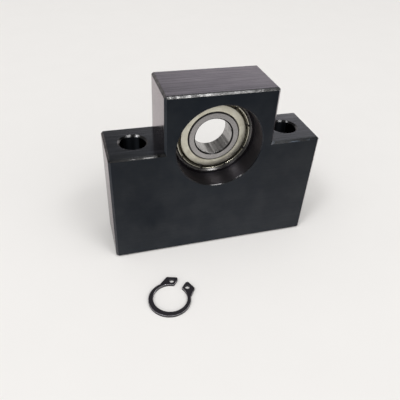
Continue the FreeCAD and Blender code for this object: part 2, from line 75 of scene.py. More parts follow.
def reckon(tree, operation, *values):
    """Output of a Math node."""
    return add_node(tree, "ShaderNodeMath", dict(enumerate(values)), operation=operation).outputs[0]


def times(tree, *values):
    """Product of masks and numbers."""
    product = values[0]
    for value in values[1:]:
        product = reckon(tree, "MULTIPLY", product, value)
    return product


def rest_of(tree, mask):
    """One where a mask is zero."""
    return reckon(tree, "SUBTRACT", 1.0, mask)


def reckon_vector(tree, operation, *values):
    """Output of a Vector Math node: the number for products and lengths, otherwise the vector."""
    made = add_node(tree, "ShaderNodeVectorMath", dict(enumerate(values)), operation=operation)
    return made.outputs["Value" if operation in ("DOT_PRODUCT", "LENGTH") else "Vector"]


def grade(tree, value, low, high, out_low=0.0, out_high=1.0):
    """Smooth step of a value between two limits."""
    made = add_node(tree, "ShaderNodeMapRange", {"Value": value, "From Min": low, "From Max": high,
                                                 "To Min": out_low, "To Max": out_high})
    made.interpolation_type = "SMOOTHSTEP"
    return made.outputs["Result"]


def blend_colour(tree, share, first, second):
    return add_node(tree, "ShaderNodeMix", {0: share, 6: first, 7: second}, data_type="RGBA").outputs[2]


def blend_vector(tree, share, first, second):
    return add_node(tree, "ShaderNodeMix", {0: share, 4: first, 5: second}, data_type="VECTOR").outputs[1]


def paint(tree, colour, coats):
    """Colour with coats laid over it in turn, each a mask and the colour that it shows."""
    for mask, coat in coats:
        colour = blend_colour(tree, mask, colour, coat)
    return colour


def split(tree, vector):
    made = add_node(tree, "ShaderNodeSeparateXYZ", {0: vector})
    return made.outputs[0], made.outputs[1], made.outputs[2]


def object_place(tree):
    return add_node(tree, "ShaderNodeTexCoord").outputs["Object"]


def noise(tree, place, scale, detail=3.0, roughness=0.5):
    """Outputs of a noise texture: Fac and Color."""
    return add_node(tree, "ShaderNodeTexNoise", {"Vector": place, "Scale": scale, "Detail": detail,
                                                 "Roughness": roughness}).outputs


def new_group(name, inputs, outputs, kind="ShaderNodeTree"):
    """Node group with named sockets; returns the tree, its inputs by name and its end node."""
    tree = bpy.data.node_groups.new(name, kind)
    for socket, value in inputs:
        tree.interface.new_socket(socket, in_out="INPUT", socket_type=f"NodeSocket{value}")
    for socket, value in outputs:
        tree.interface.new_socket(socket, in_out="OUTPUT", socket_type=f"NodeSocket{value}")
    return tree, tree.nodes.new("NodeGroupInput").outputs, tree.nodes.new("NodeGroupOutput")


def use_group(tree, group, inputs):
    return add_node(tree, "ShaderNodeGroup", inputs, node_tree=group).outputs


def across_groove(tree, normal, groove):
    """Direction in the surface at right angles to a groove."""
    return reckon_vector(tree, "NORMALIZE", reckon_vector(tree, "CROSS_PRODUCT", normal, groove))


def lean(tree, normal, direction, amount):
    """Normal tilted by an amount along a direction."""
    push = add_node(tree, "ShaderNodeVectorMath", {0: direction, "Scale": amount}, operation="SCALE")
    return reckon_vector(tree, "NORMALIZE", reckon_vector(tree, "ADD", normal, push.outputs["Vector"]))


def make_tool_marks():
    """Fine grooves that a cutter leaves: they run along one direction and tilt the surface across it."""
    tree, given, end = new_group(
        "tool_marks",
        [("Normal", "Vector"), ("Groove", "Vector"), ("Centre", "Vector"), ("Pitch", "Float"),
         ("Run", "Float"), ("Tilt", "Float")],
        [("Normal", "Vector"), ("Streak", "Float")])
    across = across_groove(tree, given["Normal"], given["Groove"])
    place = reckon_vector(tree, "SUBTRACT", object_place(tree), given["Centre"])
    step = reckon(tree, "DIVIDE", reckon_vector(tree, "DOT_PRODUCT", place, across), given["Pitch"])
    run = reckon(tree, "DIVIDE", reckon_vector(tree, "DOT_PRODUCT", place, given["Groove"]),
                 times(tree, given["Pitch"], given["Run"]))
    spot = add_node(tree, "ShaderNodeCombineXYZ", {"X": step, "Y": run}).outputs[0]
    streak = noise(tree, spot, 1.0, 3.0, 0.6)["Fac"]
    tilt = times(tree, reckon(tree, "SUBTRACT", streak, 0.5), given["Tilt"])
    set_inputs(tree, end, {"Normal": lean(tree, given["Normal"], across, tilt), "Streak": streak})
    return tree


MIDDLE_GREY = (0.5, 0.5, 0.5)
EDGE_BEND = (0.004, 0.06)
RUBBED_DENTS = (0.5, 0.68)


def make_edge_wear():
    """Edges eased by tumbling and handling: a rounded, uneven normal, and a broken mask along the edge."""
    tree, given, end = new_group(
        "edge_wear",
        [("Radius", "Float"), ("Grain", "Float"), ("Amount", "Float"), ("Dents", "Float")],
        [("Normal", "Vector"), ("Mask", "Float")])
    eased = add_node(tree, "ShaderNodeBevel", {"Radius": given["Radius"]}, samples=6).outputs[0]
    true_normal = add_node(tree, "ShaderNodeNewGeometry").outputs["True Normal"]
    bend = grade(tree, rest_of(tree, reckon_vector(tree, "DOT_PRODUCT", eased, true_normal)), *EDGE_BEND)
    dent = noise(tree, object_place(tree), given["Grain"], 3.0, 0.6)
    sideways = reckon_vector(tree, "SUBTRACT", dent["Color"], MIDDLE_GREY)
    uneven = lean(tree, eased, sideways, times(tree, bend, given["Dents"]))
    rubbed = times(tree, bend, grade(tree, dent["Fac"], *RUBBED_DENTS))
    set_inputs(tree, end, {"Normal": uneven, "Mask": times(tree, rubbed, given["Amount"])})
    return tree


tool_marks = make_tool_marks()
edge_wear = make_edge_wear()


def new_metal(name, **constants):
    """Material with a bare metal shader; returns the material, its tree and its shader."""
    material = bpy.data.materials.new(name)
    material.use_nodes = True
    shader = material.node_tree.nodes["Principled BSDF"]
    shader.inputs["Metallic"].default_value = 1.0
    for socket, value in constants.items():
        shader.inputs[socket.replace("_", " ")].default_value = value
    return material, material.node_tree, shader


def give_material(node_name, material):
    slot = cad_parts[node_name].material_slots[0]
    slot.link = "OBJECT"
    slot.material = material


def round_the_screw(tree):
    """Direction of a turning groove round the screw's axis, and the way out to the place from that axis."""
    place = reckon_vector(tree, "SUBTRACT", object_place(tree), tuple(screw_axis))
    groove = reckon_vector(tree, "NORMALIZE", reckon_vector(tree, "CROSS_PRODUCT", place, (0.0, 1.0, 0.0)))
    return groove, reckon_vector(tree, "MULTIPLY", place, (1.0, 0.0, 1.0))


def apart(tree, value, middle):
    """Distance of a value from a middle, to either side."""
    return reckon(tree, "ABSOLUTE", reckon(tree, "SUBTRACT", value, middle))


def tower_foot(tree, x, z):
    """Mask of the two inner corners where the tower stands on the shoulders, which nothing rubs."""
    beside = apart(tree, reckon(tree, "ABSOLUTE", x), TOWER_WIDTH / 2)
    above = apart(tree, z, SHOULDER_HEIGHT)
    return grade(tree, reckon(tree, "MAXIMUM", beside, above), 1.2 * MM, 0.8 * MM)


def beside_tower(tree, x, z):
    """Mask of the shoulders' last stretch before the tower, where the chamfers are coloured darker."""
    past_tower = reckon(tree, "SUBTRACT", reckon(tree, "ABSOLUTE", x), TOWER_WIDTH / 2)
    return times(tree, grade(tree, past_tower, 4.0 * MM, 2.5 * MM),
                 grade(tree, apart(tree, z, SHOULDER_HEIGHT), 1.5 * MM, 1.0 * MM))


def near_bolt(tree, x, y, radius):
    """Mask of what lies within a radius of a bolt hole's axis."""
    beside = reckon(tree, "SUBTRACT", reckon(tree, "ABSOLUTE", x), BOLT_SPACING / 2)
    from_bolt = add_node(tree, "ShaderNodeCombineXYZ", {"X": beside, "Y": y}).outputs[0]
    return grade(tree, reckon_vector(tree, "LENGTH", from_bolt), radius + 0.05 * MM, radius)


def on_chamfer(tree, facings):
    """Mask of surfaces that lie askew to the block's faces: its chamfers, and round walls at some places."""
    squarest = reckon(tree, "MAXIMUM", facings[0], reckon(tree, "MAXIMUM", facings[1], facings[2]))
    return grade(tree, squarest, 0.9, 0.8)


SQUARE_ON, SLANTING_UP = (0.75, 0.8), (0.3, 0.6)
RIGHT_EDGE_SHARE = 0.15


def find_block_places(tree, true_normal, distance):
    """Masks of the places on the block that are cut, coloured or oiled in their own way."""
    at = SimpleNamespace()
    facings = [reckon(tree, "ABSOLUTE", part) for part in split(tree, true_normal)]
    at.facing_x, at.facing_y, at.facing_z = facings
    x, y, z = split(tree, object_place(tree))
    at.height = z
    at.recess = grade(tree, distance, RECESS_RADIUS + 0.05 * MM, RECESS_RADIUS + 0.02 * MM)
    at.bolt_hole = near_bolt(tree, x, y, BOLT_HOLE_RADIUS + 0.05 * MM)
    at.inside = reckon(tree, "MAXIMUM", at.recess, at.bolt_hole)
    at.chamfer = times(tree, on_chamfer(tree, facings), rest_of(tree, at.inside))
    at.end_face = times(tree, grade(tree, at.facing_x, *SQUARE_ON),
                        grade(tree, reckon(tree, "ABSOLUTE", x), 30 * MM, 35 * MM))

    # The mouths of the recess and the bolt holes; the recess's mouth has a painted glint at its lower right.
    at.bolt_mouth = times(tree, at.chamfer, near_bolt(tree, x, y, BOLT_MOUTH_RADIUS + 0.15 * MM))
    at.recess_mouth = times(tree, at.chamfer, grade(tree, distance, RECESS_MOUTH_RADIUS + 0.15 * MM,
                                                    RECESS_MOUTH_RADIUS + 0.05 * MM))
    lower_right = times(tree, grade(tree, z, screw_axis.z - 10 * MM, screw_axis.z - 13.5 * MM),
                        grade(tree, x, -5 * MM, -2.5 * MM))
    at.pale_mouth = times(tree, at.recess_mouth, lower_right)

    # The upper part of the long edges' chamfers, shaded like the flat above it so that they look narrower.
    at.tower_foot = tower_foot(tree, x, z)
    tower_stretch = beside_tower(tree, x, z)
    shoulder_rim = times(tree, grade(tree, z, SHOULDER_HEIGHT - 0.5 * MM, SHOULDER_HEIGHT - 0.4 * MM),
                         grade(tree, z, SHOULDER_HEIGHT + 0.3 * MM, SHOULDER_HEIGHT + 0.1 * MM))
    crown_rim = grade(tree, z, CROWN_HEIGHT - 0.32 * MM, CROWN_HEIGHT - 0.22 * MM)
    slanting = grade(tree, at.facing_z, *SLANTING_UP)
    long_edge = times(tree, grade(tree, reckon(tree, "ABSOLUTE", y), 9 * MM, 10 * MM), slanting)
    at.rolled_over = times(tree, at.chamfer, reckon(tree, "MAXIMUM", shoulder_rim, crown_rim), long_edge,
                           rest_of(tree, tower_stretch))
    at.topside = reckon(tree, "MAXIMUM", grade(tree, at.facing_z, *SQUARE_ON), at.rolled_over)

    # The rest of the slanting chamfers, cut bright as far as the cutter reaches, and duller on the right.
    worked = grade(tree, x, TOWER_WIDTH / 2 - 4 * MM, TOWER_WIDTH / 2 + 1 * MM, 1.0, RIGHT_EDGE_SHARE)
    at.upper_edge = times(tree, at.chamfer, worked, slanting, rest_of(tree, at.rolled_over))
    # The chamfers' last stretch before the tower is coloured near-black.
    at.uncut_edge = times(tree, at.upper_edge, tower_stretch)
    at.cut_edge = times(tree, at.upper_edge, rest_of(tree, at.uncut_edge))
    return at


NICK_LEAN, MOUTH_LEAN = 0.34, -0.14


def cut_edges(tree, at, eased_normal, nick_colour, radial, true_normal):
    """Normal of the block: edges eased and nicked, the recess's mouth steepened, long edges rolled over."""
    nick_way = reckon_vector(tree, "SUBTRACT", nick_colour, MIDDLE_GREY)
    nicked = lean(tree, eased_normal, nick_way, times(tree, at.chamfer, NICK_LEAN))
    outwards = reckon_vector(tree, "NORMALIZE", radial)
    steepened = lean(tree, nicked, outwards, times(tree, at.recess_mouth, MOUTH_LEAN))
    sheltered = blend_vector(tree, at.tower_foot, steepened, true_normal)
    return blend_vector(tree, at.rolled_over, sheltered, (0.0, 0.0, 1.0))


BATH_DARK, BATH_LIGHT = (0.008, 0.0135, 0.022, 1), (0.0135, 0.019, 0.027, 1)
SIDE_BLACK = (0.032, 0.036, 0.036, 1)
SHOULDER_TOP_BLACK, CROWN_TOP_BLACK = (0.016, 0.029, 0.044, 1), (0.029, 0.026, 0.055, 1)
EDGE_BLACK, DARK_TOWER_EDGE_BLACK = (0.030, 0.030, 0.030, 1), (0.006, 0.006, 0.006, 1)
BOLT_HOLE_BLACK, BOLT_MOUTH_GREY = (0.026, 0.030, 0.036, 1), (0.085, 0.085, 0.087, 1)
RECESS_BLACK, RECESS_STEP_BLACK = (0.088, 0.083, 0.094, 1), (0.030, 0.028, 0.032, 1)
# Colour of the painted glint at the lower right of the recess's mouth.
PAINTED_GLINT_GREY = (0.085, 0.083, 0.084, 1)


def blacken(tree, at, bath):
    """Colour of the block, place by place: what the bath leaves, darker chamfers by the tower, and a painted
    glint on the recess's mouth.
    """
    on_crown = grade(tree, at.height, SHOULDER_HEIGHT + 5 * MM, CROWN_HEIGHT - 5 * MM)
    top_black = blend_colour(tree, on_crown, SHOULDER_TOP_BLACK, CROWN_TOP_BLACK)
    recess_step = times(tree, at.recess, grade(tree, at.facing_y, *SQUARE_ON))
    return paint(tree, blend_colour(tree, grade(tree, bath, 0.35, 0.7), BATH_DARK, BATH_LIGHT), (
        (grade(tree, at.facing_x, *SQUARE_ON), SIDE_BLACK),
        (at.topside, top_black),
        (at.upper_edge, EDGE_BLACK),
        (at.uncut_edge, DARK_TOWER_EDGE_BLACK),
        (at.bolt_mouth, BOLT_MOUTH_GREY),
        # painted glint at the lower right of the recess's mouth
        (at.pale_mouth, PAINTED_GLINT_GREY),
        (at.recess, RECESS_BLACK),
        (recess_step, RECESS_STEP_BLACK),
        (at.bolt_hole, BOLT_HOLE_BLACK)))


FACE_GRAIN, FRONT_GRAIN, CHAMFER_GRAIN, RECESS_GRAIN = 0.13, 0.5, 0.15, 0.36
SIDE_POLISH, END_GRAIN, BOLT_MOUTH_GRAIN, STREAK_GRAIN = 0.05, 0.085, 0.06, 0.08


def grain_block(tree, at, streak):
    """Roughness of the block, place by place."""
    grain = reckon(tree, "MAXIMUM", grade(tree, at.facing_y, *SQUARE_ON, FACE_GRAIN, FRONT_GRAIN),
                   times(tree, at.chamfer, CHAMFER_GRAIN))
    grain = reckon(tree, "SUBTRACT", grain, grade(tree, at.facing_x, *SQUARE_ON, 0.0, SIDE_POLISH))
    grain = reckon(tree, "ADD", grain, times(tree, at.end_face, END_GRAIN))
    grain = reckon(tree, "ADD", grain, times(tree, at.bolt_mouth, BOLT_MOUTH_GRAIN))
    grain = reckon(tree, "MAXIMUM", grain, times(tree, at.recess, RECESS_GRAIN))
    return reckon(tree, "ADD", grain, times(tree, streak, STREAK_GRAIN))


SIDE_OIL, FRONT_OIL, END_OIL_LOSS = 0.5, 0.86, 0.7


def oil_block(tree, at, bath):
    """Share of the oil film that is left, place by place."""
    oiled = rest_of(tree, reckon(tree, "MAXIMUM", at.inside, at.uncut_edge))
    wiped = grade(tree, bath, 0.35, 0.65, 0.84, 1.0)
    on_sides = grade(tree, at.facing_x, *SQUARE_ON, 1.0, SIDE_OIL)
    on_front = grade(tree, at.facing_y, *SQUARE_ON, 1.0, FRONT_OIL)
    on_ends = rest_of(tree, times(tree, at.end_face, END_OIL_LOSS))
    return times(tree, oiled, wiped, on_sides, on_front, on_ends)


FACE_TILT, TOP_TILT = 0.2, 0.37
RUBBED_STEEL = (0.24, 0.235, 0.235, 1)


def make_blackened_steel():
    material, tree, shader = new_metal("blackened_steel", Coat_IOR=1.38, Coat_Roughness=0.26,
                                       Anisotropic=0.9, Specular_Tint=(1.0, 0.92, 0.955, 1.0))
    true_normal = add_node(tree, "ShaderNodeNewGeometry").outputs["Normal"]
    turning, radial = round_the_screw(tree)
    at = find_block_places(tree, true_normal, reckon_vector(tree, "LENGTH", radial))
    eased = use_group(tree, edge_wear, {"Radius": 0.25 * MM, "Grain": 520.0, "Amount": 0.3, "Dents": 0.3})
    nick = noise(tree, object_place(tree), 420.0, 4.0, 0.7)
    bath = noise(tree, object_place(tree), 90.0, 4.0, 0.6)["Fac"]
    milled = blend_vector(tree, grade(tree, at.facing_x, *SQUARE_ON), (1.0, 0.0, 0.0), (0.0, 1.0, 0.0))
    groove = blend_vector(tree, at.recess, milled, turning)
    marks = use_group(tree, tool_marks, {
        "Normal": cut_edges(tree, at, eased["Normal"], nick["Color"], radial, true_normal),
        "Groove": groove, "Pitch": 0.75 * MM, "Run": 40.0,
        "Tilt": grade(tree, at.topside, 0.0, 1.0, FACE_TILT, TOP_TILT)})
    handled = grade(tree, at.height, SHOULDER_HEIGHT + 5 * MM, CROWN_HEIGHT, 0.4, 1.0)
    rubbed = times(tree, at.cut_edge, handled, grade(tree, nick["Fac"], 0.44, 0.62, 0.14, 0.6))
    worn = times(tree, eased["Mask"], rest_of(tree, at.tower_foot))
    bare = reckon(tree, "MAXIMUM", rubbed, worn)
    set_inputs(tree, shader, {
        "Base Color": blend_colour(tree, bare, blacken(tree, at, bath), RUBBED_STEEL),
        "Roughness": grain_block(tree, at, marks["Streak"]),
        "Coat Weight": oil_block(tree, at, bath),
        "Normal": marks["Normal"],
        "Tangent": across_groove(tree, true_normal, groove)})
    return material


give_material("bearing_block", make_blackened_steel())


# Bearing rings
# The outer ring slides in the block's bore, and the inner ring sits on the screw's journal. Both are
# through-hardened bearing steel, turned, then ground on the faces, the outside and the bore.

BORE_RADIUS, BORE_CORNER_RADIUS = 7.5 * MM, 8.05 * MM
SHIELD_SEAT_RADIUS, SHIELD_MOUTH_RADIUS = 15.03 * MM, 15.63 * MM
GROUND_DARK, GROUND_LIGHT = (0.34, 0.33, 0.33, 1), (0.59, 0.57, 0.56, 1)
RING_EDGE_GREY, SHIELD_MOUTH_GREY = (0.6, 0.59, 0.57, 1), (0.15, 0.146, 0.142, 1)
BORE_GREY, BORE_CORNER_GREY = (0.36, 0.35, 0.345, 1), (0.045, 0.043, 0.043, 1)
ALONG_BORE = (1.0, 0.02, 1.0)
LAP_LEAN = 0.3


def make_ground_steel():
    material, tree, shader = new_metal("ground_bearing_steel")
    eased = use_group(tree, edge_wear, {"Radius": 0.1 * MM, "Grain": 1200.0, "Amount": 0.25, "Dents": 0.1})
    turning, radial = round_the_screw(tree)
    distance = reckon_vector(tree, "LENGTH", radial)
    marks = use_group(tree, tool_marks, {
        "Normal": eased["Normal"], "Groove": turning, "Centre": tuple(screw_axis), "Pitch": 0.09 * MM,
        "Run": 200.0, "Tilt": 0.3})
    lap = noise(tree, reckon_vector(tree, "MULTIPLY", object_place(tree), ALONG_BORE), 750.0, 2.0)["Fac"]
    lapped = lean(tree, eased["Normal"], turning, grade(tree, lap, 0.3, 0.7, -LAP_LEAN, LAP_LEAN))
    in_bore = grade(tree, distance, BORE_RADIUS + 0.06 * MM, BORE_RADIUS + 0.02 * MM)
    on_corner = times(tree, rest_of(tree, in_bore),
                      grade(tree, distance, BORE_CORNER_RADIUS, BORE_CORNER_RADIUS - 0.04 * MM))
    past_shield = grade(tree, distance, SHIELD_SEAT_RADIUS - 0.1 * MM, SHIELD_SEAT_RADIUS - 0.05 * MM)
    over_rim = times(tree, past_shield,
                     grade(tree, distance, SHIELD_MOUTH_RADIUS, SHIELD_MOUTH_RADIUS - 0.04 * MM))
    grey = paint(tree, blend_colour(tree, marks["Streak"], GROUND_DARK, GROUND_LIGHT), (
        (eased["Mask"], RING_EDGE_GREY),
        (over_rim, SHIELD_MOUTH_GREY),
        (in_bore, BORE_GREY),
        (on_corner, BORE_CORNER_GREY)))
    stain = noise(tree, object_place(tree), 260.0)["Fac"]
    set_inputs(tree, shader, {
        "Base Color": grey,
        "Roughness": grade(tree, stain, 0.3, 0.7, 0.22, 0.34),
        "Normal": blend_vector(tree, in_bore, marks["Normal"], lapped)})
    return material


ground_steel = make_ground_steel()
give_material("bearing_outer_ring", ground_steel)
give_material("bearing_inner_ring", ground_steel)


# Balls and their cage
# Polished balls of bearing steel between the rings, spaced by a cage of two pressed ribbons that are
# riveted together between the balls.

BALL_COLOURS, BALL_GRAINS = ((0.62, 0.62, 0.62, 1), (0.72, 0.71, 0.70, 1)), (0.05, 0.12)
CAGE_COLOURS, CAGE_GRAINS = ((0.45, 0.44, 0.43, 1), (0.62, 0.61, 0.60, 1)), (0.25, 0.4)


def make_mottled_metal(name, scale, roughness, colours, grains):
    """Metal whose colour and roughness drift between two values over a fine noise."""
    material, tree, shader = new_metal(name)
    drift = noise(tree, object_place(tree), scale, 4.0, roughness)["Fac"]
    set_inputs(tree, shader, {"Base Color": blend_colour(tree, drift, *colours),
                              "Roughness": grade(tree, drift, 0.3, 0.7, *grains)})
    return material


polished_steel = make_mottled_metal("polished_ball_steel", 700.0, 0.5, BALL_COLOURS, BALL_GRAINS)
cage_sheet = make_mottled_metal("pressed_cage_sheet", 900.0, 0.6, CAGE_COLOURS, CAGE_GRAINS)
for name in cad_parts:
    if name.startswith("ball_"):
        give_material(name, polished_steel)
    if name in ("cage_front", "cage_rear"):
        give_material(name, cage_sheet)


# Cage rivets
# Nine small steel rivets hold the cage's two ribbons together between the balls. Their heads are formed
# by a press, which leaves them low and domed.

TURN_RADIUS = 1 * MM
SHARP_BEND = math.radians(35)
FILLET_STEPS, RIVET_STEPS = 4, 16
CROWN_SHARE, DOME_SHARE = 0.7, 0.9
MERGE_DISTANCE = 0.001 * MM


def pick_by_index(tree, kind, values):
    """Field that gives each point, by its number, its own value."""
    made = add_node(tree, "GeometryNodeIndexSwitch", data_type=kind)
    while len(made.index_switch_items) < len(values):
        made.index_switch_items.new()
    set_inputs(tree, made, {"Index": add_node(tree, "GeometryNodeInputIndex").outputs[0]})
    set_inputs(tree, made, dict(enumerate(values, 1)))
    return made.outputs[0]


def draw_section(tree, corners, closed):
    """Outline of a turned section through its corners, each a radius, a height and a rounding."""
    places = [add_node(tree, "ShaderNodeCombineXYZ", {"X": radius, "Y": height}).outputs[0]
              for radius, height, rounding in corners]
    chain = add_node(tree, "GeometryNodeMeshLine", {"Count": len(corners)}).outputs[0]
    chain = add_node(tree, "GeometryNodeSetPosition", {
        "Geometry": chain, "Position": pick_by_index(tree, "VECTOR", places)}).outputs[0]
    line = add_node(tree, "GeometryNodeMeshToCurve", {0: chain}).outputs[0]
    line = add_node(tree, "GeometryNodeSetSplineCyclic", {"Geometry": line, "Cyclic": closed}).outputs[0]
    roundings = pick_by_index(tree, "FLOAT", [rounding for radius, height, rounding in corners])
    return add_node(tree, "GeometryNodeFilletCurve", {
        "Curve": line, "Radius": roundings, "Limit Radius": True, "Count": FILLET_STEPS},
        mode="POLY").outputs[0]


def turn_section(tree, section, path, caps):
    """Sweep a section along a path of the turning radius, so that its radii count from the axis."""
    beside = add_node(tree, "GeometryNodeTransform", {
        "Geometry": section, "Translation": (-TURN_RADIUS, 0.0, 0.0), "Scale": (1.0, -1.0, 1.0)}).outputs[0]
    return add_node(tree, "GeometryNodeCurveToMesh", {
        "Curve": path, "Profile Curve": beside, "Fill Caps": caps}).outputs[0]


def full_turn(tree, steps):
    return add_node(tree, "GeometryNodeCurvePrimitiveCircle", {
        "Resolution": steps, "Radius": TURN_RADIUS}).outputs[0]


def end_shape(tree, shape, material, end):
    """Realise the instances, shade round surfaces smooth between sharp bends, and give the material."""
    solid = add_node(tree, "GeometryNodeRealizeInstances", {"Geometry": shape}).outputs[0]
    bend = add_node(tree, "GeometryNodeInputMeshEdgeAngle").outputs["Unsigned Angle"]
    sharp = reckon(tree, "GREATER_THAN", bend, SHARP_BEND)
    smooth = add_node(tree, "GeometryNodeSetShadeSmooth", {
        "Geometry": solid, "Shade Smooth": True}).outputs[0]
    creased = add_node(tree, "GeometryNodeSetShadeSmooth", {
        "Geometry": smooth, "Selection": sharp, "Shade Smooth": False}, domain="EDGE").outputs[0]
    coated = add_node(tree, "GeometryNodeSetMaterial", {
        "Geometry": creased, "Material": material}).outputs[0]
    set_inputs(tree, end, {"Geometry": coated})


def make_piece(name, tree, values, place):
    """Piece with a plain mesh made by a Geometry Nodes tree, moved to its place in the frame."""
    piece = bpy.data.objects.new(name, bpy.data.meshes.new(name))
    bpy.context.scene.collection.objects.link(piece)
    maker = piece.modifiers.new("maker", "NODES")
    maker.node_group = tree
    for item in tree.interface.items_tree:
        if item.in_out == "INPUT":
            maker[item.identifier] = values[item.name]
    shapes = bpy.context.evaluated_depsgraph_get()
    made = bpy.data.meshes.new_from_object(piece.evaluated_get(shapes), depsgraph=shapes)
    piece.modifiers.remove(maker)
    made.transform(place)
    piece.data = made
    return piece


def make_rivet_row(material):
    tree, given, end = new_group("cage_rivet_row", [
        ("Shank Radius", "Float"), ("Head Radius", "Float"), ("Head Height", "Float"),
        ("Half Grip", "Float"), ("Pitch Radius", "Float"), ("Count", "Int"), ("First Angle", "Float")],
        [("Geometry", "Geometry")], "GeometryNodeTree")
    shank, head, under = given["Shank Radius"], given["Head Radius"], given["Half Grip"]
    top = reckon(tree, "ADD", under, given["Head Height"])
    low_under, low_top = (times(tree, height, -1.0) for height in (under, top))
    crown = times(tree, head, CROWN_SHARE)
    dome = times(tree, given["Head Height"], DOME_SHARE)
    section = draw_section(tree, [
        (0.0, top, 0.0), (crown, top, dome), (head, under, 0.0), (shank, under, 0.0),
        (shank, low_under, 0.0), (head, low_under, 0.0), (crown, low_top, dome), (0.0, low_top, 0.0)], False)
    rivet = turn_section(tree, section, full_turn(tree, RIVET_STEPS), False)
    rivet = add_node(tree, "GeometryNodeMergeByDistance", {
        "Geometry": rivet, "Distance": MERGE_DISTANCE}).outputs[0]
    row = add_node(tree, "GeometryNodeMeshCircle", {
        "Vertices": given["Count"], "Radius": given["Pitch Radius"]}).outputs[0]
    start = add_node(tree, "ShaderNodeCombineXYZ", {"Z": given["First Angle"]}).outputs[0]
    turned = add_node(tree, "GeometryNodeTransform", {"Geometry": row, "Rotation": start}).outputs[0]
    rivets = add_node(tree, "GeometryNodeInstanceOnPoints", {
        "Points": turned, "Instance": rivet}).outputs[0]
    end_shape(tree, rivets, material, end)
    return tree


seated = Matrix.Translation(screw_axis) @ Matrix.Rotation(math.radians(90), 4, "X")
rivet_sizes = {"Shank Radius": 0.4 * MM, "Head Radius": 0.55 * MM, "Head Height": 0.3 * MM,
               "Half Grip": 0.45 * MM, "Pitch Radius": 11.75 * MM, "Count": 9,
               "First Angle": math.radians(20)}
cage_rivets = make_piece("pressed_rivets", make_rivet_row(cage_sheet), rivet_sizes, seated)
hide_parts("cage_rivets")
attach(cage_rivets, "cage")


# Shields
# Thin pressed sheet on both sides of the bearing, with a warm passivated tint. The sheet slopes down into
# a channel and is folded up into a rim, which is slit into nine tongues that snap into the outer ring.

CHANNEL_START, RIM_CREST = 13.24 * MM, 14.63 * MM
TINT_LIGHT, TINT_DARK = (0.88, 0.855, 0.725, 1), (0.76, 0.725, 0.59, 1)
SHIELD_EDGE, CHANNEL_OIL_AND_SHADE = (0.9, 0.89, 0.83, 1), (0.17, 0.16, 0.13, 1)
CHANNEL_SMOOTHING, SMOOTH_LOSS = 0.6, 0.5
EDGE_ROUND, BACK_ROUND, FOOT_ROUND = 0.04 * MM, 0.1 * MM, 0.12 * MM
PAN_STEPS, TONGUE_STEPS = 180, 20


def make_shield_sheet():
    material, tree, shader = new_metal("tinted_shield_sheet")
    groove, radial = round_the_screw(tree)
    distance = reckon_vector(tree, "LENGTH", radial)
    eased = use_group(tree, edge_wear, {"Radius": 0.1 * MM, "Grain": 1500.0, "Amount": 0.4, "Dents": 0.15})
    marks = use_group(tree, tool_marks, {
        "Normal": eased["Normal"], "Groove": groove, "Centre": tuple(screw_axis), "Pitch": 0.3 * MM,
        "Run": 40.0, "Tilt": 0.06})
    stain = noise(tree, object_place(tree), 300.0, 4.0, 0.6)["Fac"]
    past_flat = grade(tree, distance, CHANNEL_START, CHANNEL_START + 0.15 * MM)
    beside_crest = grade(tree, apart(tree, distance, RIM_CREST), 0.14 * MM, 0.26 * MM)
    # Oil and painted shade darken the channel beside the rim's crest.
    oil_and_shade = times(tree, past_flat, beside_crest)
    tint = paint(tree, blend_colour(tree, grade(tree, stain, 0.3, 0.75), TINT_LIGHT, TINT_DARK), (
        (eased["Mask"], SHIELD_EDGE),
        (oil_and_shade, CHANNEL_OIL_AND_SHADE)))
    smoothed = reckon(tree, "MAXIMUM", oil_and_shade, times(tree, past_flat, CHANNEL_SMOOTHING))
    pressed = rest_of(tree, times(tree, smoothed, SMOOTH_LOSS))
    set_inputs(tree, shader, {
        "Base Color": tint,
        "Roughness": times(tree, grade(tree, stain, 0.3, 0.75, 0.3, 0.4), pressed),
        "Normal": marks["Normal"]})
    return material


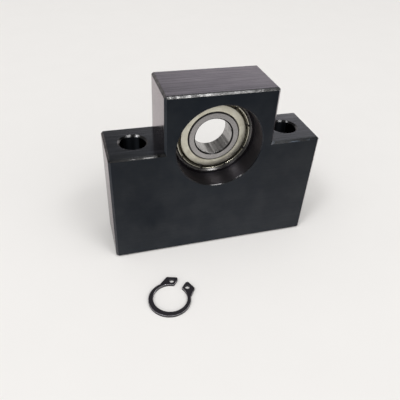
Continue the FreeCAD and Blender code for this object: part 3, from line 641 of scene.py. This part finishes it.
def make_slit_shield(material):
    tree, given, end = new_group("slit_shield", [
        ("Bore", "Float"), ("Wall Top", "Float"), ("Wall Foot", "Float"), ("Wall Lap", "Float"),
        ("Rim Inside", "Float"), ("Rim Outside", "Float"), ("Face", "Float"), ("Channel Floor", "Float"),
        ("Sheet", "Float"), ("Bend", "Float"), ("Rim Round", "Float"), ("Tongues", "Int"),
        ("Slit Angle", "Float"), ("First Slit", "Float")],
        [("Geometry", "Geometry")], "GeometryNodeTree")
    bore, wall_top, wall_foot = given["Bore"], given["Wall Top"], given["Wall Foot"]
    face, floor = given["Face"], given["Channel Floor"]
    inside, outside, rim_round = given["Rim Inside"], given["Rim Outside"], given["Rim Round"]
    back, floor_back = (reckon(tree, "SUBTRACT", height, given["Sheet"]) for height in (face, floor))
    foot_back, top_back = (reckon(tree, "SUBTRACT", edge, given["Wall Lap"])
                           for edge in (wall_foot, wall_top))
    pan = draw_section(tree, [
        (bore, face, EDGE_ROUND), (wall_top, face, given["Bend"]), (wall_foot, floor, 0.0),
        (wall_foot, floor_back, 0.0), (foot_back, floor_back, 0.0), (top_back, back, BACK_ROUND),
        (bore, back, 0.0)], True)
    tongue = draw_section(tree, [
        (foot_back, floor, 0.0), (inside, floor, FOOT_ROUND), (inside, face, rim_round),
        (outside, face, rim_round), (outside, floor_back, FOOT_ROUND), (foot_back, floor_back, 0.0)], True)
    share = reckon(tree, "DIVIDE", math.tau, given["Tongues"])
    half_slit = times(tree, given["Slit Angle"], 0.5)
    arc = add_node(tree, "GeometryNodeCurveArc", {
        "Resolution": TONGUE_STEPS, "Radius": TURN_RADIUS,
        "Start Angle": reckon(tree, "ADD", given["First Slit"], half_slit),
        "Sweep Angle": reckon(tree, "SUBTRACT", share, given["Slit Angle"])}).outputs[0]
    row = add_node(tree, "GeometryNodeMeshLine", {
        "Count": given["Tongues"], "Offset": (0.0, 0.0, 0.0)}).outputs[0]
    number = add_node(tree, "GeometryNodeInputIndex").outputs[0]
    step = add_node(tree, "ShaderNodeCombineXYZ", {"Z": times(tree, number, share)}).outputs[0]
    rim = add_node(tree, "GeometryNodeInstanceOnPoints", {
        "Points": row, "Instance": turn_section(tree, tongue, arc, True), "Rotation": step}).outputs[0]
    joined = add_node(tree, "GeometryNodeJoinGeometry")
    tree.links.new(turn_section(tree, pan, full_turn(tree, PAN_STEPS), False), joined.inputs[0])
    tree.links.new(rim, joined.inputs[0])
    end_shape(tree, joined.outputs[0], material, end)
    return tree


shield_tree = make_slit_shield(make_shield_sheet())
shield_sizes = {"Bore": 10.549 * MM, "Wall Top": 13.211 * MM, "Wall Foot": 14.111 * MM,
                "Wall Lap": 0.124 * MM, "Rim Inside": 14.411 * MM, "Rim Outside": 15.011 * MM,
                "Face": 4.15 * MM, "Channel Floor": 3.25 * MM, "Sheet": 0.3 * MM, "Bend": 0.35 * MM,
                "Rim Round": 0.28 * MM, "Tongues": 9, "Slit Angle": math.radians(1.95),
                "First Slit": math.radians(12.5)}
turned_over = Matrix.Rotation(math.radians(180), 4, "X")
for node_name, place in (("front_shield", seated), ("rear_shield", seated @ turned_over)):
    shield = make_piece(f"slit_{node_name}", shield_tree, shield_sizes, place)
    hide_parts(node_name)
    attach(shield, "outer_ring")


# Retaining ring
# Stamped from spring steel strip, hardened and phosphated black, with a plier hole in each lug. It lies
# loose on the table in front of the block.

CRYSTAL_DARK, CRYSTAL_LIGHT = (0.010, 0.009, 0.012, 1), (0.030, 0.027, 0.033, 1)
SCUFFED_STEEL = (0.72, 0.70, 0.74, 1)
SCUFF_POLISH = 0.2


def make_black_spring_steel():
    material, tree, shader = new_metal("phosphated_spring_steel")
    eased = use_group(tree, edge_wear, {"Radius": 0.12 * MM, "Grain": 900.0, "Amount": 0.6, "Dents": 0.2})
    crystal = noise(tree, object_place(tree), 2500.0, 3.0, 0.6)["Fac"]
    black = blend_colour(tree, crystal, CRYSTAL_DARK, CRYSTAL_LIGHT)
    upwards = split(tree, add_node(tree, "ShaderNodeNewGeometry").outputs["Normal"])[2]
    rolled_edge = times(tree, grade(tree, upwards, 0.15, 0.3), grade(tree, upwards, 0.97, 0.85))
    scuff = noise(tree, object_place(tree), 350.0)["Fac"]
    scuffed = times(tree, rolled_edge, grade(tree, scuff, 0.3, 0.6))
    bare = reckon(tree, "MAXIMUM", scuffed, eased["Mask"])
    grain = grade(tree, crystal, 0.3, 0.7, 0.35, 0.5)
    set_inputs(tree, shader, {
        "Base Color": blend_colour(tree, bare, black, SCUFFED_STEEL),
        "Metallic": bare,
        "Roughness": reckon(tree, "SUBTRACT", grain, times(tree, bare, SCUFF_POLISH)),
        "Normal": eased["Normal"]})
    return material


give_material("retaining_ring", make_black_spring_steel())


# Table, lamps and camera
# The unit stands on a sheet of white paper under two soft lamps, and the camera looks down at its front
# from the left. In the metal's reflections the paper darkens towards the front, and the room towards the
# front, the left and the ceiling.

TABLE_REACH, TABLE_DROP = 3.0, 0.02 * MM
SHADE_NEAR, SHADE_FAR, SHADE_FULL = -25 * MM, -175 * MM, 0.8
PAPER_DARK, PAPER_LIGHT = (0.85, 0.84, 0.83, 1), (0.87, 0.86, 0.85, 1)
SHADE_BLACK = (0.06, 0.06, 0.065, 1)

corners = [(x * TABLE_REACH, y * TABLE_REACH, -TABLE_DROP) for x, y in ((-1, -1), (1, -1), (1, 1), (-1, 1))]
table_mesh = bpy.data.meshes.new("table")
table_mesh.from_pydata(corners, [], [(0, 1, 2, 3)])
table = bpy.data.objects.new("table", table_mesh)
bpy.context.scene.collection.objects.link(table)

paper = bpy.data.materials.new("white_paper")
paper.use_nodes = True
paper_tree = paper.node_tree
fibre = noise(paper_tree, object_place(paper_tree), 40.0, 2.0)["Fac"]
white = blend_colour(paper_tree, fibre, PAPER_DARK, PAPER_LIGHT)
towards_front = split(paper_tree, object_place(paper_tree))[1]
shade = add_node(paper_tree, "ShaderNodeMapRange", {
    "Value": towards_front, "From Min": SHADE_NEAR, "From Max": SHADE_FAR, "To Min": 0.0,
    "To Max": SHADE_FULL}).outputs["Result"]
seen_in_metal = add_node(paper_tree, "ShaderNodeLightPath").outputs["Is Glossy Ray"]
mirrored_shade = times(paper_tree, shade, seen_in_metal)
set_inputs(paper_tree, paper_tree.nodes["Principled BSDF"], {
    "Base Color": blend_colour(paper_tree, mirrored_shade, white, SHADE_BLACK),
    "Roughness": 0.7,
    "Specular IOR Level": 0.2})
table_mesh.materials.append(paper)

LAMP_AIM = Vector((0.0, 0.0, 45 * MM))
LAMP_DISTANCE = 3.0


def hang_lamp(name, direction, width, depth, radiance):
    """Rectangular lamp of this radiance, hung in this direction and turned towards the unit."""
    data = bpy.data.lights.new(name, "AREA")
    data.shape = "RECTANGLE"
    data.size, data.size_y = width, depth
    data.energy = radiance * math.pi * width * depth
    lamp = bpy.data.objects.new(name, data)
    lamp.location = LAMP_AIM + Vector(direction).normalized() * LAMP_DISTANCE
    lamp.rotation_euler = (LAMP_AIM - lamp.location).to_track_quat("-Z", "Y").to_euler()
    bpy.context.scene.collection.objects.link(lamp)


hang_lamp("right_lamp", (0.29, -0.49, 0.82), 0.9, 0.55, 8.4)
hang_lamp("left_lamp", (-0.49, -0.35, 0.80), 0.55, 0.7, 15.0)

WALL_WHITE = (1.0, 0.985, 0.965, 1.0)
FRONT_WALL, LEFT_WALL, CEILING, FAR_LEFT_LOSS = 0.25, 0.52, 0.25, 0.7
LEAST_LIGHT, MOST_LIGHT = 0.18, 1.31

world = bpy.data.worlds.new("white_room")
bpy.context.scene.world = world
world.use_nodes = True
room = world.node_tree
room.nodes.clear()
rays = add_node(room, "ShaderNodeLightPath").outputs
mirrored = reckon(room, "MAXIMUM", rays["Is Camera Ray"],
                  reckon(room, "MAXIMUM", rays["Is Glossy Ray"], rays["Is Transmission Ray"]))
sideways, backwards, upwards = split(room, add_node(room, "ShaderNodeTexCoord").outputs["Generated"])
far_left = times(room, grade(room, sideways, -0.4, -0.55), grade(room, backwards, 0.3, 0.6))
wall = times(room, grade(room, backwards, -0.6, 0.6, FRONT_WALL, 1.0),
             grade(room, sideways, 0.05, 0.27, LEFT_WALL, 1.0),
             grade(room, upwards, 0.42, 0.49, 1.0, CEILING),
             rest_of(room, times(room, far_left, FAR_LEFT_LOSS)))
shown_strength = reckon(room, "MAXIMUM", wall, rays["Is Camera Ray"])
from_front = reckon(room, "SUBTRACT", times(room, upwards, 0.4),
                    reckon(room, "ADD", backwards, times(room, sideways, 0.35)))
lit_strength = grade(room, from_front, -0.4, 0.9, LEAST_LIGHT, MOST_LIGHT)
shown = add_node(room, "ShaderNodeBackground", {"Color": WALL_WHITE, "Strength": shown_strength})
lit = add_node(room, "ShaderNodeBackground", {"Color": WALL_WHITE, "Strength": lit_strength})
mixed = add_node(room, "ShaderNodeMixShader", {0: mirrored, 1: lit.outputs[0], 2: shown.outputs[0]})
add_node(room, "ShaderNodeOutputWorld", {"Surface": mixed.outputs[0]})

VIEW_AZIMUTH, VIEW_ELEVATION, VIEW_ROLL = math.radians(-18.352), math.radians(37.621), math.radians(3.342)
VIEW_DISTANCE = 193.482 * MM
VIEW_TARGET = Vector((-3.131, 0.0, 14.95)) * MM
FRAME_PIXELS, FOCAL_PIXELS = 400, 440.866

backward = Vector((math.sin(VIEW_AZIMUTH) * math.cos(VIEW_ELEVATION),
                   -math.cos(VIEW_AZIMUTH) * math.cos(VIEW_ELEVATION), math.sin(VIEW_ELEVATION)))
level = Vector((math.cos(VIEW_AZIMUTH), math.sin(VIEW_AZIMUTH), 0.0))
upright = backward.cross(level)
across_frame = math.cos(VIEW_ROLL) * level + math.sin(VIEW_ROLL) * upright
up_frame = math.cos(VIEW_ROLL) * upright - math.sin(VIEW_ROLL) * level
camera_data = bpy.data.cameras.new("camera")
camera_data.lens = FOCAL_PIXELS / FRAME_PIXELS * camera_data.sensor_width
camera_data.clip_start = 1 * MM
camera = bpy.data.objects.new("camera", camera_data)
turn = Matrix((across_frame, up_frame, backward)).transposed().to_4x4()
camera.matrix_world = Matrix.Translation(VIEW_TARGET + backward * VIEW_DISTANCE) @ turn
bpy.context.scene.collection.objects.link(camera)
bpy.context.scene.camera = camera
bpy.context.scene.view_settings.view_transform = "Standard"
